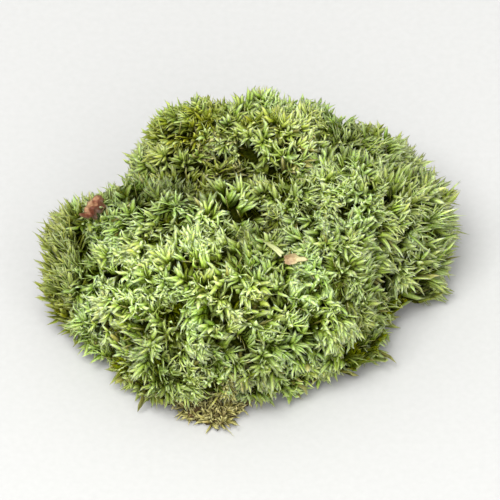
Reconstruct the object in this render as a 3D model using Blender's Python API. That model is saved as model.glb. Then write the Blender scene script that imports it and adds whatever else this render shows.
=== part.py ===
"""A moss clump: one lobed cushion of moss, grown on a thin brown mat of dead stems, with three scraps of
litter caught in it. Metres, +Z up. The origin is on the ground under the middle of the clump, +X runs along
its width, and -Y is the front."""

import math
import random

import bmesh
import bpy
from mathutils import Matrix, Vector, noise
from mathutils.bvhtree import BVHTree

MM = 0.001
RIGHT_ANGLE = math.pi / 2
GAP = 0.3 * MM
SEED = 7

# The cushion's outline as seen from above: how far its shoot tips reach at each 15 degrees of bearing,
# anticlockwise from +X, in millimetres
TIP_REACH = (
    33.6, 36.4, 36.4, 34.6, 32.2, 30.8,
    30.6, 30.0, 29.0, 28.8, 27.8, 33.8,
    36.4, 36.6, 35.0, 33.2, 36.2, 33.8,
    30.4, 27.8, 28.2, 29.6, 26.6, 27.2,
)

# The cushion's side view. It is widest at the belt, and tucked in below that to its lip
CROWN_HEIGHT = 32.5 * MM
REAR_DROP = 2 * MM
REAR_DROP_OVER = 20 * MM
BELT_HEIGHT = 10 * MM
LIP_HEIGHT = 2.2 * MM
UNDERCUT = 2.4 * MM
FULLNESS = 2.4
LAST_SWEEP = math.radians(115)

# Above the belt the outline's bays fill out: up to the first sweep its reach is the mean over this arc
EVEN_SWEEP, TRUE_SWEEP = math.radians(35), math.radians(88)
EVEN_ARC = math.radians(50)
EVEN_STEPS = 5

# The upright tuft at the left, where the belt is higher
LEFT_TUFT_RISE = 7 * MM
LEFT_TUFT_BEARING = math.radians(174)
LEFT_TUFT_SPREAD = math.radians(17)

# Tufts all over the cushion: shoots that stand together and share a tip
TUFTS = 1080
RIM_TUFTS = 58
RIM_SPARE = math.radians(3.2)
TIP_PROUD = 1.1 * MM
TIP_UNEVEN = 0.35
TIP_NOISE = 40
HOLLOW_DEEP = 1.1 * MM
TUFT_WANDER = 0.022
CROWN_CROWDING = 1.15

# Hummocks over the whole cushion: size across and height, and where their noise is read
HUMMOCKS = ((11 * MM, 1.5 * MM), (5 * MM, 0.9 * MM))
HUMMOCK_SHIFT = Vector((3.1, 7.7, 1.3))

# The deep crease before the rear lobe and the narrow cleft beside the left tuft: route from above in
# millimetres, half width and depth. The crease fades in and out along its route
CREASE_ROUTE = (
    (-34, 10.5), (-27, 9.5), (-20, 8.2), (-12, 7), (-4, 6.5),
    (4, 6.3), (9, 8), (13.5, 11.5), (15.5, 17), (14.5, 23),
)
CREASE_WIDTH = 4.4 * MM
CREASE_DEPTH = 9.5 * MM
CREASE_STARTS, CREASE_FULL = -3 * MM, 14 * MM
CREASE_FADES_OVER = 30 * MM
CLEFT_ROUTE = ((-29, 8), (-30.5, 3), (-30, -5), (-28.5, -14))
CLEFT_WIDTH = 2.4 * MM
CLEFT_DEPTH = 4.4 * MM
CLEFTS_START, CLEFTS_FULL = 7 * MM, 16 * MM

# Small hollows, three of them in a row as a shallow groove: middle from above in millimetres, radius
# and depth
HOLLOWS = (
    ((-14, -23.5), 3.2 * MM, 2.2 * MM),
    ((1.5, 17), 3.2 * MM, 2.0 * MM),
    ((0, -9), 3.0 * MM, 1.8 * MM),
    ((2, -14), 3.4 * MM, 1.5 * MM),
    ((3.5, -18), 3.0 * MM, 1.2 * MM),
    ((24, -9), 3.4 * MM, 2.4 * MM),
    ((-29, -17), 3.4 * MM, 2.0 * MM),
    ((-26, 14), 4.6 * MM, 1.5 * MM),
)

# Knobs that stand above the rest: middle from above in millimetres, radius and height
KNOBS = (
    ((8, 19), 7 * MM, 2.0 * MM),
    ((5, 12), 4.6 * MM, 1.8 * MM),
    ((-8, 19), 8 * MM, 2.2 * MM),
    ((-33, 4), 4 * MM, 0.8 * MM),
)

# The mat under the cushion: height and reach as shares of its own, and how ragged it is there
MAT_THICKNESS = 5 * MM
MAT_INSET = 5.6 * MM
MAT_SEGMENTS = 72
MAT_FRINGE = 0.7 * MM
MAT_PROFILE = ((0, 0.97, 0.3), (0.3, 1, 1), (0.65, 0.97, 1), (1, 0.9, 0.4))

# The mat's tongue comes out under a raised stretch of the cushion's lip
TONGUE_BEARING = math.radians(256)
TONGUE_CORE, TONGUE_SPREAD = math.radians(5.6), math.radians(15)
TONGUE_REACH = 33 * MM
TONGUE_LIP = 6.4 * MM
TONGUE_SLOPE = 0.12

# The recess in the cushion's underside, which the mat fills
MAT_CLEARANCE = 0.9 * MM
MOUTH_RISE = 0.4 * MM
SHOULDER_RISE = 0.2 * MM
SHOULDER_SHARE = 0.97

# Litter: the middle, from above in millimetres, and the radius of the bed that each piece has pressed into
# the moss, and the way it is turned
RED_SCRAP_BED = ((-27.0, -3.1), 3.8 * MM)
RED_SCRAP_TURN = math.radians(25)
TAN_SCRAP_BED = ((6.9, -18.1), 3.0 * MM)
TAN_SCRAP_TURN = math.radians(12)
TWIG_BED = ((2.6, -16.3), 3.6 * MM)
TWIG_TURN = math.radians(-38)
BED_DEEP = 0.9 * MM
LITTER_EASE = 0.1 * MM
DROPPED_FROM = 6 * MM

# The leaf scraps: half widths at even steps from the torn base to the tip, as shares of the widest
RED_SCRAP_SIZE = (4.6 * MM, 3.4 * MM)
RED_SCRAP_OUTLINE = (0.45, 0.80, 1.00, 0.90, 0.95, 0.60, 0.25)
RED_SCRAP_BOW, RED_SCRAP_CURL = 0.5 * MM, 0.9 * MM
TAN_SCRAP_SIZE = (4.2 * MM, 1.9 * MM)
TAN_SCRAP_OUTLINE = (0.30, 0.80, 1.00, 0.90, 0.68, 0.40, 0.10)
TAN_SCRAP_BOW, TAN_SCRAP_CURL = 0.35 * MM, 0.3 * MM
SCRAP_RIBS = 5
SCRAP_THICKNESS = 0.35 * MM
SCRAP_RIPPLE = 0.12 * MM

TWIG_LENGTH = 5.8 * MM
TWIG_WIDTH = 0.6 * MM
TWIG_BEND = 0.5 * MM
TWIG_TIP_SHARE = 0.45
TWIG_SIDES, TWIG_STEPS = 8, 9

# Colour and roughness
LOOKS = {
    "living_moss": ((0.22, 0.29, 0.08), 0.85),
    "dead_stems": ((0.16, 0.09, 0.04), 0.95),
    "red_dry_leaf": ((0.22, 0.04, 0.03), 0.6),
    "tan_dry_leaf": ((0.55, 0.30, 0.17), 0.7),
    "pale_stalk": ((0.62, 0.52, 0.32), 0.7),
}


def clear_scene():
    for thing in list(bpy.data.objects):
        bpy.data.objects.remove(thing, do_unlink=True)


def material(name):
    colour, roughness = LOOKS[name]
    made = bpy.data.materials.new(name)
    made.use_nodes = True
    shader = made.node_tree.nodes["Principled BSDF"]
    shader.inputs["Base Color"].default_value = (*colour, 1)
    shader.inputs["Roughness"].default_value = roughness
    made.diffuse_color = (*colour, 1)
    return made


def ramp(value, start, full):
    """0 up to start and 1 from full on, with a smooth rise between. start may be above full."""
    share = min(max((value - start) / (full - start), 0), 1)
    return share * share * (3 - 2 * share)


def bell(distance, width):
    return math.exp(-((distance / width) ** 2))


def away_from(point, middle):
    """How far a point is, seen from above, from a place given in millimetres."""
    return math.dist((point.x, point.y), (middle[0] * MM, middle[1] * MM))


def from_bearing(bearing, out, height=0):
    return Vector((out * math.cos(bearing), out * math.sin(bearing), height))


def angle_between(bearing, other):
    return abs((bearing - other + math.pi) % math.tau - math.pi)


def tip_reach(bearing):
    """The outline's reach at any bearing, on a smooth curve through the values of TIP_REACH."""
    count = len(TIP_REACH)
    place = bearing / math.tau % 1 * count
    index = int(place)
    part = place - index
    before, here, after, beyond = (TIP_REACH[(index + step) % count] for step in (-1, 0, 1, 2))
    bend = 2 * before - 5 * here + 4 * after - beyond
    twist = 3 * (here - after) + beyond - before
    return (here + part * (after - before + part * (bend + part * twist)) / 2) * MM


def even_reach(bearing):
    """The outline's mean reach over an arc about a bearing."""
    places = [2 * EVEN_ARC * index / (EVEN_STEPS - 1) - EVEN_ARC for index in range(EVEN_STEPS)]
    return sum(tip_reach(bearing + place) for place in places) / EVEN_STEPS


def route_steps(route):
    return [(Vector(start) * MM, (Vector(end) - Vector(start)) * MM) for start, end in zip(route, route[1:])]


def route_distance(point, route):
    """How far a point seen from above is from a route, and how far along the route that is."""
    spot = Vector((point.x, point.y))
    nearest, along, gone = math.inf, 0, 0
    for start, step in route_steps(route):
        part = min(max((spot - start).dot(step) / step.length_squared, 0), 1)
        away = (spot - start - step * part).length
        if away < nearest:
            nearest, along = away, gone + step.length * part
        gone += step.length
    return nearest, along


CREASE_LENGTH = sum(step.length for _, step in route_steps(CREASE_ROUTE))


def tongue_share(bearing):
    """1 in the middle of the raised stretch of the lip, and 0 outside it."""
    return ramp(angle_between(bearing, TONGUE_BEARING), TONGUE_SPREAD, TONGUE_CORE)


def belt_height(bearing):
    """The cushion is widest at this height: low nearly all round, and high at the upright left tuft."""
    return BELT_HEIGHT + LEFT_TUFT_RISE * bell(angle_between(bearing, LEFT_TUFT_BEARING), LEFT_TUFT_SPREAD)


def lip_height(bearing):
    """The lip is raised before the mat's tongue begins to come out."""
    return LIP_HEIGHT + (TONGUE_LIP - LIP_HEIGHT) * ramp(tongue_share(bearing), 0, 0.5)


def mat_reach(bearing):
    """How far the mat reaches at its foot: short of the cushion, and past it at the tongue."""
    hidden = tip_reach(bearing) - MAT_INSET
    return hidden + (TONGUE_REACH - hidden) * ramp(tongue_share(bearing), 0.5, 1)


def plain_surface(bearing, sweep):
    """A point of the bun shape before clefts and hummocks. sweep is 0 at the crown, a right angle at the
    belt and LAST_SWEEP at the lip."""
    reach = tip_reach(bearing)
    reach += (even_reach(bearing) - reach) * ramp(sweep, TRUE_SWEEP, EVEN_SWEEP) - TIP_PROUD
    belt = belt_height(bearing)
    if sweep < RIGHT_ANGLE:
        out = reach * math.sin(sweep) ** (2 / FULLNESS)
        crown = CROWN_HEIGHT - TIP_PROUD - REAR_DROP * ramp(out * math.sin(bearing), 0, REAR_DROP_OVER)
        height = belt + (crown - belt) * math.cos(sweep) ** (2 / FULLNESS)
    else:
        turn = RIGHT_ANGLE * (sweep - RIGHT_ANGLE) / (LAST_SWEEP - RIGHT_ANGLE)
        out = reach - UNDERCUT * (1 - math.cos(turn))
        height = belt - (belt - lip_height(bearing)) * math.sin(turn)
    return from_bearing(bearing, out, height)


def outward(bearing, sweep):
    """The bun shape's outward direction, from two short steps along its surface."""
    step = 0.01
    sweep = max(sweep, step)
    across = plain_surface(bearing + step, sweep) - plain_surface(bearing - step, sweep)
    down = plain_surface(bearing, min(sweep + step, LAST_SWEEP)) - plain_surface(bearing, sweep - step)
    return down.cross(across).normalized()


def relief(point):
    """How far the real surface stands out from the bun shape: hummocks and knobs less clefts and hollows."""
    out = sum(height * noise.noise(point / size + HUMMOCK_SHIFT) for size, height in HUMMOCKS)
    out += sum(height * bell(away_from(point, middle), radius) for middle, radius, height in KNOBS)
    out -= sum(depth * bell(away_from(point, middle), radius) for middle, radius, depth in HOLLOWS)
    away, along = route_distance(point, CREASE_ROUTE)
    crease = CREASE_DEPTH * bell(away, CREASE_WIDTH) * ramp(along, CREASE_STARTS, CREASE_FULL)
    crease *= ramp(along, CREASE_LENGTH, CREASE_LENGTH - CREASE_FADES_OVER)
    away, along = route_distance(point, CLEFT_ROUTE)
    cleft = CLEFT_DEPTH * bell(away, CLEFT_WIDTH)
    return out - (crease + cleft) * ramp(point.z, CLEFTS_START, CLEFTS_FULL)


def bed_share(point):
    """1 where a piece of litter lies and has pressed the tufts flat, and 0 away from it."""
    beds = (RED_SCRAP_BED, TAN_SCRAP_BED, TWIG_BED)
    return max(ramp(away_from(point, middle), radius, radius / 2) for middle, radius in beds)


def cushion_point(direction, proud):
    """The point of the cushion's surface that a direction from its middle leads to. proud is how far a
    tuft's tip stands out there, or below 0 how deep the hollow between tufts is."""
    bearing = math.atan2(direction.y, direction.x)
    sweep = min(math.acos(direction.z), LAST_SWEEP)
    point = plain_surface(bearing, sweep)
    bed = bed_share(point)
    out = (relief(point) + proud) * (1 - bed) - BED_DEEP * bed
    return point + outward(bearing, sweep) * out * ramp(sweep, LAST_SWEEP, LAST_SWEEP - 4 * RIM_SPARE)


def crown_point(x, y):
    """The cushion's surface straight above a place given in millimetres, and its outward direction."""
    bearing = math.atan2(y, x)
    share = math.hypot(x, y) * MM / (even_reach(bearing) - TIP_PROUD)
    sweep = math.asin(share ** (FULLNESS / 2))
    direction = from_bearing(bearing, math.sin(sweep), math.cos(sweep))
    return cushion_point(direction, 0), outward(bearing, sweep)


def tuft_directions():
    """Directions spread evenly over the cushion, one for each tuft, as seeds sit in a sunflower."""
    shuffled = random.Random(SEED)
    golden = math.pi * (3 - math.sqrt(5))
    lowest = math.cos(LAST_SWEEP - RIM_SPARE)
    found = []
    for index in range(TUFTS):
        height = 1 - (1 - lowest) * ((index + 0.5) / TUFTS) ** CROWN_CROWDING
        spot = from_bearing(index * golden, math.sqrt(1 - height * height), height)
        wander = Vector([shuffled.uniform(-TUFT_WANDER, TUFT_WANDER) for _ in range(3)])
        found.append((spot + wander).normalized())
    return found


def rim_directions():
    turns = [math.tau * index / RIM_TUFTS for index in range(RIM_TUFTS)]
    return [from_bearing(turn, math.sin(LAST_SWEEP), math.cos(LAST_SWEEP)) for turn in turns]


def tuft_net():
    """The tufts and the rim joined into triangles, as the hull of their directions with its floor left out.
    Returns the net and its corners on the rim, in order."""
    net = bmesh.new()
    for direction in tuft_directions():
        net.verts.new(direction)
    rim = [net.verts.new(direction) for direction in rim_directions()]
    bmesh.ops.convex_hull(net, input=net.verts)
    on_rim = set(rim)
    floor = [face for face in net.faces if on_rim.issuperset(face.verts)]
    bmesh.ops.delete(net, geom=floor, context="FACES")
    return net, rim


def band(shape, lower, upper):
    """Joins two closed rings of as many corners with quads."""
    for index, corner in enumerate(lower):
        after = (index + 1) % len(lower)
        shape.faces.new((corner, lower[after], upper[after], upper[index]))


def cap(shape, ring, middle):
    """Closes a ring with triangles to one corner in its middle."""
    for index, corner in enumerate(ring):
        shape.faces.new((corner, ring[(index + 1) % len(ring)], middle))


def finished(name, shape, look):
    """An object made of a closed shape, with its faces turned outwards."""
    bmesh.ops.recalc_face_normals(shape, faces=shape.faces)
    bmesh.ops.triangulate(shape, faces=shape.faces)
    mesh = bpy.data.meshes.new(name)
    shape.to_mesh(mesh)
    shape.free()
    mesh.materials.append(material(look))
    made = bpy.data.objects.new(name, mesh)
    bpy.context.scene.collection.objects.link(made)
    return made


def add_tufts(shape):
    """Adds the tufted surface and returns its rim. Each direction of the net carries a tip and each triangle
    of it a hollow, and the six hollows round a tip make one tuft."""
    net, rim = tuft_net()
    tips = {}
    for spot in net.verts:
        proud = TIP_PROUD * (1 + TIP_UNEVEN * noise.noise(spot.co * TIP_NOISE))
        tips[spot] = shape.verts.new(cushion_point(spot.co, proud))
    hollows = {}
    for face in net.faces:
        middle = face.calc_center_median().normalized()
        hollows[face] = shape.verts.new(cushion_point(middle, -HOLLOW_DEEP))
    for edge in net.edges:
        start, end = (tips[spot] for spot in edge.verts)
        beside = [hollows[face] for face in edge.link_faces]
        if len(beside) == 2:
            shape.faces.new((start, *beside))
            shape.faces.new((end, *beside))
        elif len(beside) == 1:
            shape.faces.new((start, end, *beside))
    ring = [tips[spot] for spot in rim]
    net.free()
    return ring


def add_recess(shape, ring):
    """Closes the cushion below: from its lip to the recess's mouth, up to its shoulder and over its roof."""
    roof = MAT_THICKNESS + GAP
    mouth, shoulder = [], []
    for index in range(len(ring)):
        bearing = math.tau * index / len(ring)
        out = tip_reach(bearing) - MAT_INSET + MAT_CLEARANCE
        height = lip_height(bearing) + MOUTH_RISE
        mouth.append(shape.verts.new(from_bearing(bearing, out, height)))
        height = max(roof, height + SHOULDER_RISE)
        shoulder.append(shape.verts.new(from_bearing(bearing, out * SHOULDER_SHARE, height)))
    band(shape, ring, mouth)
    band(shape, mouth, shoulder)
    cap(shape, shoulder, shape.verts.new((0, 0, roof)))


def moss_cushion():
    shape = bmesh.new()
    ring = add_tufts(shape)
    add_recess(shape, ring)
    return finished("moss_cushion", shape, "living_moss")


def base_mat():
    """The mat: cut flat below, with a ragged side that slopes in towards its top."""
    shuffled = random.Random(SEED)
    shape = bmesh.new()
    rings = []
    for height, share, ragged in MAT_PROFILE:
        ring = []
        for index in range(MAT_SEGMENTS):
            bearing = math.tau * index / MAT_SEGMENTS
            out = mat_reach(bearing) * share * (1 - TONGUE_SLOPE * height * tongue_share(bearing))
            out -= MAT_FRINGE * ragged * shuffled.random()
            ring.append(shape.verts.new(from_bearing(bearing, out, height * MAT_THICKNESS)))
        rings.append(ring)
    for lower, upper in zip(rings, rings[1:]):
        band(shape, lower, upper)
    cap(shape, rings[0], shape.verts.new((0, 0, 0)))
    cap(shape, rings[-1], shape.verts.new((0, 0, MAT_THICKNESS)))
    return finished("base_mat", shape, "dead_stems")


def leaf_scrap(name, size, outline, bow, curl, look):
    """A scrap of a dry leaf: a rippled sheet, bowed along its length, with its edges curled up."""
    length, width = size
    shape = bmesh.new()
    layers = ([], [])
    for step, half in enumerate(outline):
        along = step / (len(outline) - 1)
        for rib in range(SCRAP_RIBS):
            side = 2 * rib / (SCRAP_RIBS - 1) - 1
            height = bow * math.sin(math.pi * along) + curl * side * side * (0.5 + along)
            height += SCRAP_RIPPLE * math.sin(5 * side + 9 * along)
            for index, layer in enumerate(layers):
                rise = height + index * SCRAP_THICKNESS
                corner = ((along - 0.5) * length, side * half * width / 2, rise)
                layer.append(shape.verts.new(corner))
    last_step, last_rib = len(outline) - 1, SCRAP_RIBS - 1
    for step in range(last_step):
        for rib in range(last_rib):
            here = step * SCRAP_RIBS + rib
            after = here + SCRAP_RIBS
            for layer in layers:
                shape.faces.new((layer[here], layer[here + 1], layer[after + 1], layer[after]))
    edge = list(range(last_rib))
    edge += [step * SCRAP_RIBS + last_rib for step in range(last_step)]
    edge += [last_step * SCRAP_RIBS + rib for rib in range(last_rib, 0, -1)]
    edge += [step * SCRAP_RIBS for step in range(last_step, 0, -1)]
    lower, upper = ([layer[index] for index in edge] for layer in layers)
    band(shape, lower, upper)
    return finished(name, shape, look)


def pale_twig():
    """A thin stalk, bent a little, that thins towards its tip."""
    shape = bmesh.new()
    rings = []
    for step in range(TWIG_STEPS):
        along = step / (TWIG_STEPS - 1)
        radius = TWIG_WIDTH / 2 * (1 - (1 - TWIG_TIP_SHARE) * along)
        middle = Vector(((along - 0.5) * TWIG_LENGTH, TWIG_BEND * math.sin(math.pi * along), TWIG_WIDTH / 2))
        turns = [math.tau * side / TWIG_SIDES for side in range(TWIG_SIDES)]
        around = [Vector((0, math.cos(turn), math.sin(turn))) for turn in turns]
        rings.append([shape.verts.new(middle + spoke * radius) for spoke in around])
    for lower, upper in zip(rings, rings[1:]):
        band(shape, lower, upper)
    shape.faces.new(rings[0])
    shape.faces.new(rings[-1])
    return finished("pale_twig", shape, "pale_stalk")


def lay_on(cushion, made, bed, turn):
    """Turns an object, whose own +Z is up, leans it as the cushion leans there, and lowers it on its bed
    until it all but touches."""
    point, out = crown_point(*bed[0])
    lean = Vector((0, 0, 1)).rotation_difference(out).to_matrix().to_4x4()
    turned = Matrix.Translation(point) @ lean @ Matrix.Rotation(turn, 4, "Z")
    corners = [corner.co for corner in cushion.data.vertices]
    moss = BVHTree.FromPolygons(corners, [face.vertices for face in cushion.data.polygons])
    depths = []
    for corner in made.data.vertices:
        above = turned @ corner.co + out * DROPPED_FROM
        distance = moss.ray_cast(above, -out)[3]
        depths.append(DROPPED_FROM - distance)
    lift = max(depths) + GAP + LITTER_EASE
    made.matrix_world = Matrix.Translation(out * lift) @ turned


def centre(pieces):
    """Hangs all pieces on one empty, so that the clump's box stands over the origin."""
    bpy.context.view_layer.update()
    corners = [made.matrix_world @ corner.co for made in pieces for corner in made.data.vertices]
    low_x, high_x = min(c.x for c in corners), max(c.x for c in corners)
    low_y, high_y = min(c.y for c in corners), max(c.y for c in corners)
    anchor = bpy.data.objects.new("moss_clump", None)
    bpy.context.scene.collection.objects.link(anchor)
    for made in pieces:
        made.parent = anchor
    anchor.location = (-(low_x + high_x) / 2, -(low_y + high_y) / 2, 0)


def main():
    clear_scene()
    cushion = moss_cushion()
    red_scrap = leaf_scrap(
        "red_leaf_scrap", RED_SCRAP_SIZE, RED_SCRAP_OUTLINE, RED_SCRAP_BOW, RED_SCRAP_CURL, "red_dry_leaf"
    )
    tan_scrap = leaf_scrap(
        "tan_leaf_scrap", TAN_SCRAP_SIZE, TAN_SCRAP_OUTLINE, TAN_SCRAP_BOW, TAN_SCRAP_CURL, "tan_dry_leaf"
    )
    twig = pale_twig()
    lay_on(cushion, red_scrap, RED_SCRAP_BED, RED_SCRAP_TURN)
    lay_on(cushion, tan_scrap, TAN_SCRAP_BED, TAN_SCRAP_TURN)
    lay_on(cushion, twig, TWIG_BED, TWIG_TURN)
    centre([cushion, base_mat(), red_scrap, tan_scrap, twig])


main()
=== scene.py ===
"""The looks of a moss clump. Leafy shoots take the place of the green cushion; felt, rootlets and dead
shoots that of the brown mat below it; and curled scraps and a split stalk that of the litter. Metres, +Z
up, the front faces -Y."""

import math
from functools import partial

import bmesh
import bpy
import numpy as np
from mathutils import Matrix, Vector


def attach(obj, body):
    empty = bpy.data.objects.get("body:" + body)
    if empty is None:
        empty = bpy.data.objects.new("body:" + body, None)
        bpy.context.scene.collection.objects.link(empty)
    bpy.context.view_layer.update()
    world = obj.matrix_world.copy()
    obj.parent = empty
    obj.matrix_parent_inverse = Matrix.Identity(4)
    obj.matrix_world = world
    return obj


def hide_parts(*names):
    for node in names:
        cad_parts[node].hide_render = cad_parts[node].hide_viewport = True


MM = 0.001
SEED = 11
TINY = 1e-6

# The camera looks along +Y, 45 degrees down, from far away, at the middle of the clump
CAMERA_ELEVATION = math.radians(45)
CAMERA_DISTANCE = 1.9
CAMERA_TARGET = Vector((0, 0, 12.65 * MM))
FRAME_WIDTH = 87.3 * MM
SENSOR_WIDTH = 36

# The studio: half the floor's width; each light's name, place, width and power; the sky's strength
FLOOR_REACH = 3.0
LIGHTS = (
    ("key_light", (-0.25, -0.45, 1.0), 0.6, 15.5),
    ("fill_light", (0.2, -0.9, 0.7), 1.0, 9),
)
SKY_STRENGTH = 0.8

# Leaves: rings of three corners, by place along a leaf and share of its width; the ridge's height by the
# width; and where along a leaf it is tested
LEAF_RINGS = ((0.0, 0.7), (0.3, 1.0), (0.7, 0.74))
LEAF_RIDGE = 0.16
LEAF_CHECKS = (0.2, 0.4, 0.6, 0.8, 1.0)
GOLDEN_TURN = math.pi * (3 - math.sqrt(5))
LOWEST_LEAF = 0.35 * MM
GROUND = 0.05 * MM

# A shoot's leaves: their number, the length of stem that bears them, and their length and width
LIVING_LEAVES = (33, 2.6 * MM, 3.8 * MM, 0.98 * MM)
DEAD_LEAVES = (13, 1.8 * MM, 3.2 * MM, 0.66 * MM)

# How the leaves stand on a shoot, from its foot to its top, and how much each differs from the next
SPREAD_AT_FOOT, SPREAD_AT_TOP = math.radians(77), math.radians(31)
SPREAD_CURVE = 1.5
BELOW_TIP = 1.2 * MM
TOP_SHORTER, TOP_NARROWER = 0.35, 0.2
LENGTH_LIMITS, WIDTH_LIMITS = (0.5, 1.5), (0.55, 1.5)
LEAF_BEND = 0.9
SWEEP_BEND = 2.2
PALE_SHARE, PALE_TINT = 0.06, 0.8
FOOT_DIES = 1.3
LEAF_VARIES = {
    "level": 0.03, "turn": 0.25, "spread": 0.2, "roll": 0.6, "length": 0.16, "width": 0.17, "bend": 0.9,
    "twist": 0.6, "sway": 0.14 * MM, "warm": 0.6, "olive": 0.14,
}

# Stems inside the living shoots
STEM_WIDTH, STEM_LENGTH, STEM_BELOW_TIP = 0.42 * MM, 5.2 * MM, 0.6 * MM
STEM_BEND = 0.25
STEM_TINT, STEM_DEAD = -0.6, 0.75

# Rounds of smoothing that even out the cushion's tufts, and those that leave only its broad shape
EVEN_ROUNDS, BROAD_ROUNDS = 6, 60

# Shoots stand above this height, on tufts that rise this far from the even surface, and in this share of
# the hollows that sink this far below it and don't look further down
SHOOTS_START, TUFT_RISE, HOLLOW_SINK = 1.5 * MM, 0.3 * MM, 0.1 * MM
HOLLOW_SHARE, HOLLOW_FACING = 0.4, -0.5
MOSS_PIECES = 6

# The shoots' height over the even surface, and how much they turn up, lean, gather in heads and sweep
HEAD_HEIGHT, HEAD_RISE, HEIGHT_VARIES = 0.65 * MM, 0.65 * MM, 0.3 * MM
HEIGHT_LIMITS = (-1.6 * MM, 2.0 * MM)
UPWARD = [0, 0, 0.2]
LEANING, GATHERING, EDGE_GATHERING = 0.2, 0.15, 0.4
AXIS_VARIES = 0.13
SWEEPING = 0.6

# Random fields over the clump: how wide their bumps are, and their seeds
HEADS = (4.6 * MM, 1)
LEANS = (9 * MM, (2, 3, 4))
OLIVE_PATCHES = (7 * MM, 5)
SHADE_PATCHES = (4.2 * MM, 6)
SWEEPS = (7 * MM, (7, 8, 9))
FINE_PATCHES = (2.6 * MM, 10)
PARTINGS = (2.2 * MM, 11)
WARMTH = (4.5 * MM, 12)

# How much those fields change the shoots' colours, and how much single shoots differ in brightness
OLIVE_VARIES, REAR_OLIVE_VARIES, WARM_VARIES = 0.1, 0.3, 0.5
SHADE_VARIES, SHOOT_VARIES = 0.3, 0.3

# The bed below the shoots, dark partly as painted shade between them: its depth, its bumps as (height,
# width, seed), and which faces are its cut
BED_DEPTH = 2.9 * MM
BED_BUMPS = ((0.45 * MM, 1.6 * MM, 31), (0.3 * MM, 0.9 * MM, 32))
CUT_FACING = -0.6

# Dark holes between shoots: their share of the hollows, mean radius and its spread, how far they reach,
# and how far past that leaves are looked at
PIT_SHARE, PIT_RADIUS, PIT_SPREAD = 0.34, 0.62 * MM, 0.3
PIT_FLOOR, PIT_REACH, PIT_MARGIN = -1.5 * MM, 3.5 * MM, 2 * MM

# Partings at the right edge: where they start, how rare they are, and their radius
PARTINGS_START, PARTING_LEVEL, PARTING_RADIUS = 23 * MM, 1.1, 0.7 * MM

# Openings over the gaps below: their radius by the gap's, how far they reach, how much they turn up, and
# how deep gaps that meet can get
GAP_OPENING = 0.62
GAP_FLOOR, GAP_REACH = 1.9 * MM, 6.5 * MM
GAP_FACING, GAP_UPWARD = 0.2, [0, 0, 0.3]
DEEPEST_GAP = 3.4 * MM

# The cleft beside the left tuft is a row of gaps along this route, from above in millimetres
CLEFT = ((-31.0, 4.5), (-30.3, -2.0), (-28.8, -10.5))
CLEFT_GAPS = 9
CLEFT_RADIUS, CLEFT_DEPTH = 1.7, 1.8

# Gaps where the shoots stand low: middle across and back, radius and depth, in millimetres
GAPS = (
    (-14.7, -23.2, 2.6, 2.8), (5.5, 5.0, 3.0, 2.8), (-3.0, 5.0, 3.0, 2.8),
    (5.5, 0.5, 3.6, 2.2), (-2.0, 0.5, 3.6, 2.2), (-10.5, -0.5, 3.4, 2.8),
    (-17.5, -2.8, 3.0, 2.8), (-16.3, -9.2, 2.2, 2.0), (0.5, -5.4, 2.0, 2.4),
    (-2.6, -10.0, 2.2, 1.3), (-2.1, -25.3, 1.5, 1.6), (16.3, -10.9, 1.6, 1.2),
    (23.7, 4.7, 1.5, 1.3), (12.1, -23.2, 1.6, 1.6), (20.0, -19.2, 2.4, 1.8),
    (28.9, -6.5, 2.2, 2.2), (-14.5, -28.6, 2.0, 1.8), (-25.6, 1.6, 1.7, 2.8),
    (-21.5, -0.5, 2.4, 2.4), (1.5, -12.5, 2.2, 1.2),
)

# Round parts of the clump: middle across and back, and radius, in millimetres
SPOTS = {
    "rear_left": ((-9, 16, 9.5),),
    "rear_right": ((5, 13.5, 5.6),),
    "groove": ((1.2, -12.2, 2.6),),
    "warm_patch": ((-3, -23, 4.5), (9, 17, 5), (-14, 9, 4)),
    "cool_patch": ((33, 3, 5), (-25, -8, 7), (9, -22, 6), (12, 26, 7)),
}

# Other parts by axis, and where along it they start and are full, in millimetres
SIDES = {
    "left_tuft": (0, -29.5, -31.5),
    "right_side": (0, 8, 24),
    "right_edge": (0, 22, 30),
    "front": (1, -24, -29),
    "foot": (2, 11, 2),
}
REAR_BACK, REAR_ACROSS = (9, 13), (16, 10)
FULL_DIP = 3 * MM

# What shoots have in general: how far their leaves spread, how long they are, how much they curl and are
# swept aside, how olive, warm and bright they are, how patchy that is, how much one leaf's brightness
# differs from the next one's, and how many millimetres lower they stand
USUAL = {
    "spread": 1, "size": 1, "curl": 1, "swept": 1, "olive": -0.04, "warm": -0.25, "shade": 0, "patchy": 0,
    "mottle": 0.28, "drop": 0,
}

# What each part of the clump adds to that, for a gap by its depth in millimetres. Lower shade is painted
# shade on the left tuft, the right side and edge, the front, the foot and in the gaps; on the rear left it
# is partly painted shade and partly the lobe's own darker tone. Part of the olive of the dips, gaps,
# groove and foot is painted shade too
PARTS = {
    "left_tuft": {
        "spread": -0.6, "size": 0.42, "curl": -0.65, "swept": -0.9, "olive": 0.45, "warm": 0.8,
        "shade": -1.4, "drop": 0.7,
    },
    "right_side": {"spread": -0.1, "shade": -0.1},
    "right_edge": {
        "spread": -0.35, "size": 0.3, "curl": -0.65, "warm": 0.8, "shade": -0.8, "patchy": 0.6,
        "mottle": 0.5, "drop": 1.4,
    },
    "rear_left": {
        "spread": -0.25, "curl": -0.3, "olive": 0.85, "warm": 0.4, "shade": -0.9, "patchy": 0.7,
        "mottle": 0.25,
    },
    "rear_right": {"swept": -0.6, "olive": 0.15, "shade": 0.9},
    "rear": {"size": -0.06},
    "groove": {"olive": 0.8},
    "front": {"shade": -0.4},
    "foot": {"olive": 0.35, "shade": -0.5},
    "dip": {"olive": 0.45},
    "gap": {"olive": 0.125, "shade": -0.35, "drop": 1},
    "warm_patch": {"warm": 0.8},
    "cool_patch": {"warm": -1.2},
}

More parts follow.
